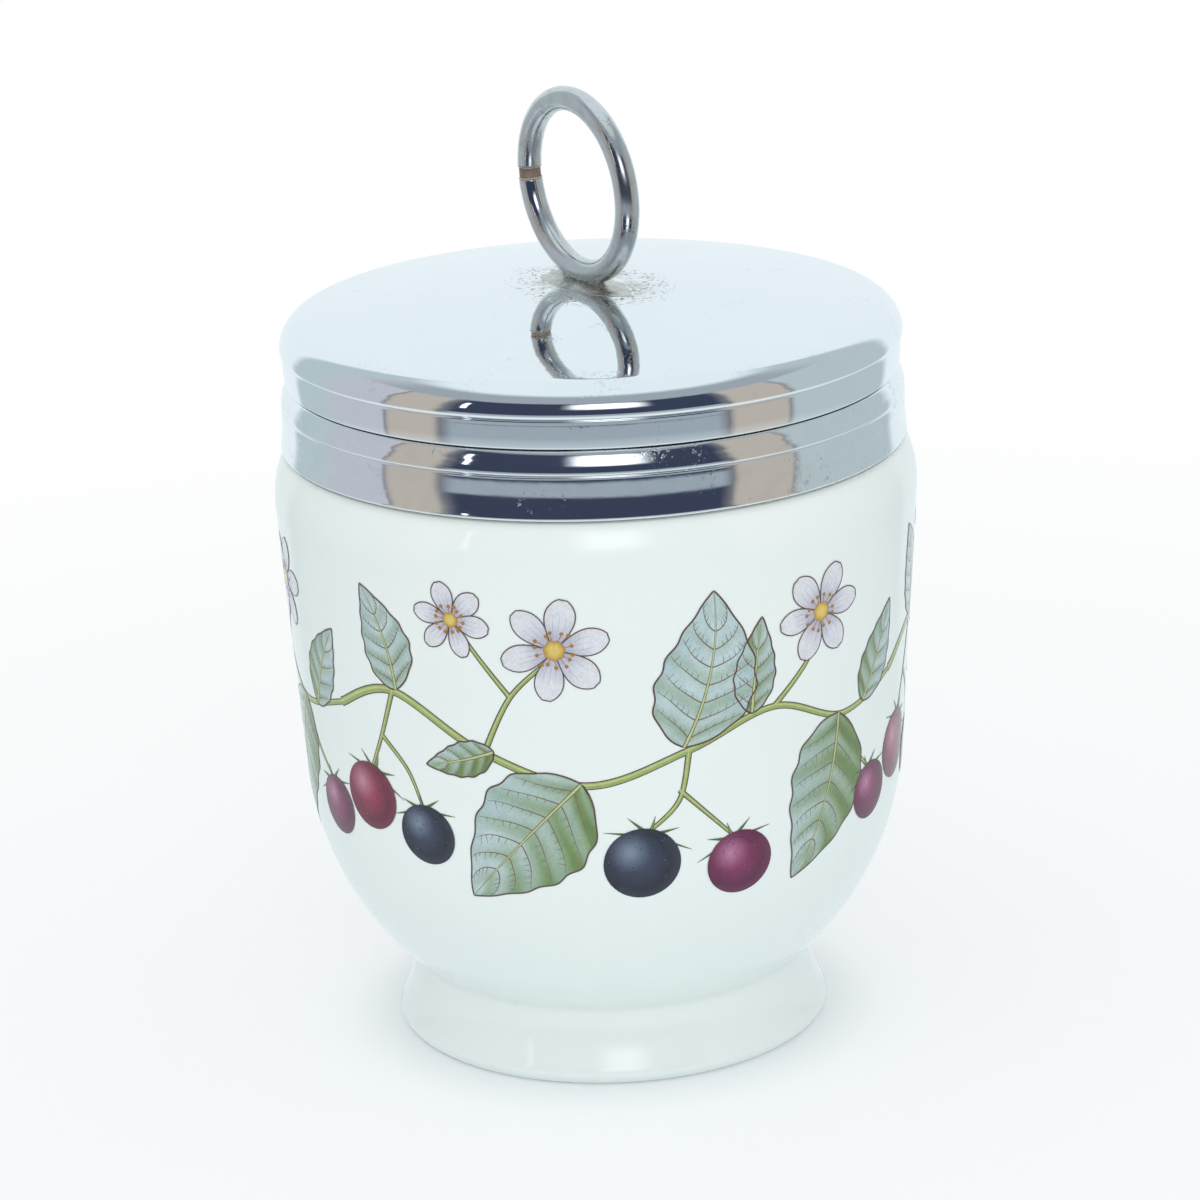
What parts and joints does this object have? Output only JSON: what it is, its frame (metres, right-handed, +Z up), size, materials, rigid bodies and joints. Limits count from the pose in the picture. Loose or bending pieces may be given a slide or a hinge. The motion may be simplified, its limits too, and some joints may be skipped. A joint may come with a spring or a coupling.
{
  "type": "egg coddler",
  "caption": "Porcelain egg coddler with a foot ring, a metal collar and a domed screw lid that has an upright lifting ring.",
  "frame": {"origin": "centre of the foot's rest face, on the cup's axis", "axes": "+Z up along the cup's axis; the lifting ring stands along X"},
  "size_m": [0.0644, 0.0644, 0.0967],
  "materials": {
    "porcelain": "clear glaze over white porcelain, with printed fruit and leaves",
    "chromed_metal": "polished plating, finely pitted and worn in places",
    "cement": "dull bedding cement",
    "seal_rubber": "matte",
    "braze": "dull, browned",
    "solder": "dull, pitted"
  },
  "bodies": {
    "cup": {"cup": "porcelain", "collar": "chromed_metal", "collar_cement": "cement"},
    "seal": {"lid_seal": "seal_rubber"},
    "lid": {"lid_shell": "chromed_metal", "lid_thread_ring": "chromed_metal", "lifting_ring": "chromed_metal", "ring_butt_braze": "braze", "ring_solder": "solder"}
  },
  "joints": [
    {"name": "lid_lift", "type": "slide", "parent": "cup", "child": "seal", "axis": [0, 0, 1], "range_m": [0, 0.0053]},
    {"name": "lid_turn", "type": "hinge", "parent": "seal", "child": "lid", "pos_m": [0, 0, 0.0735], "axis": [0, 0, 1], "range_deg": [0, 630]}
  ],
  "couplings": [
    {"joint": "lid_lift", "follows": "lid_turn", "m_per_rad": 0.00047746}
  ]
}
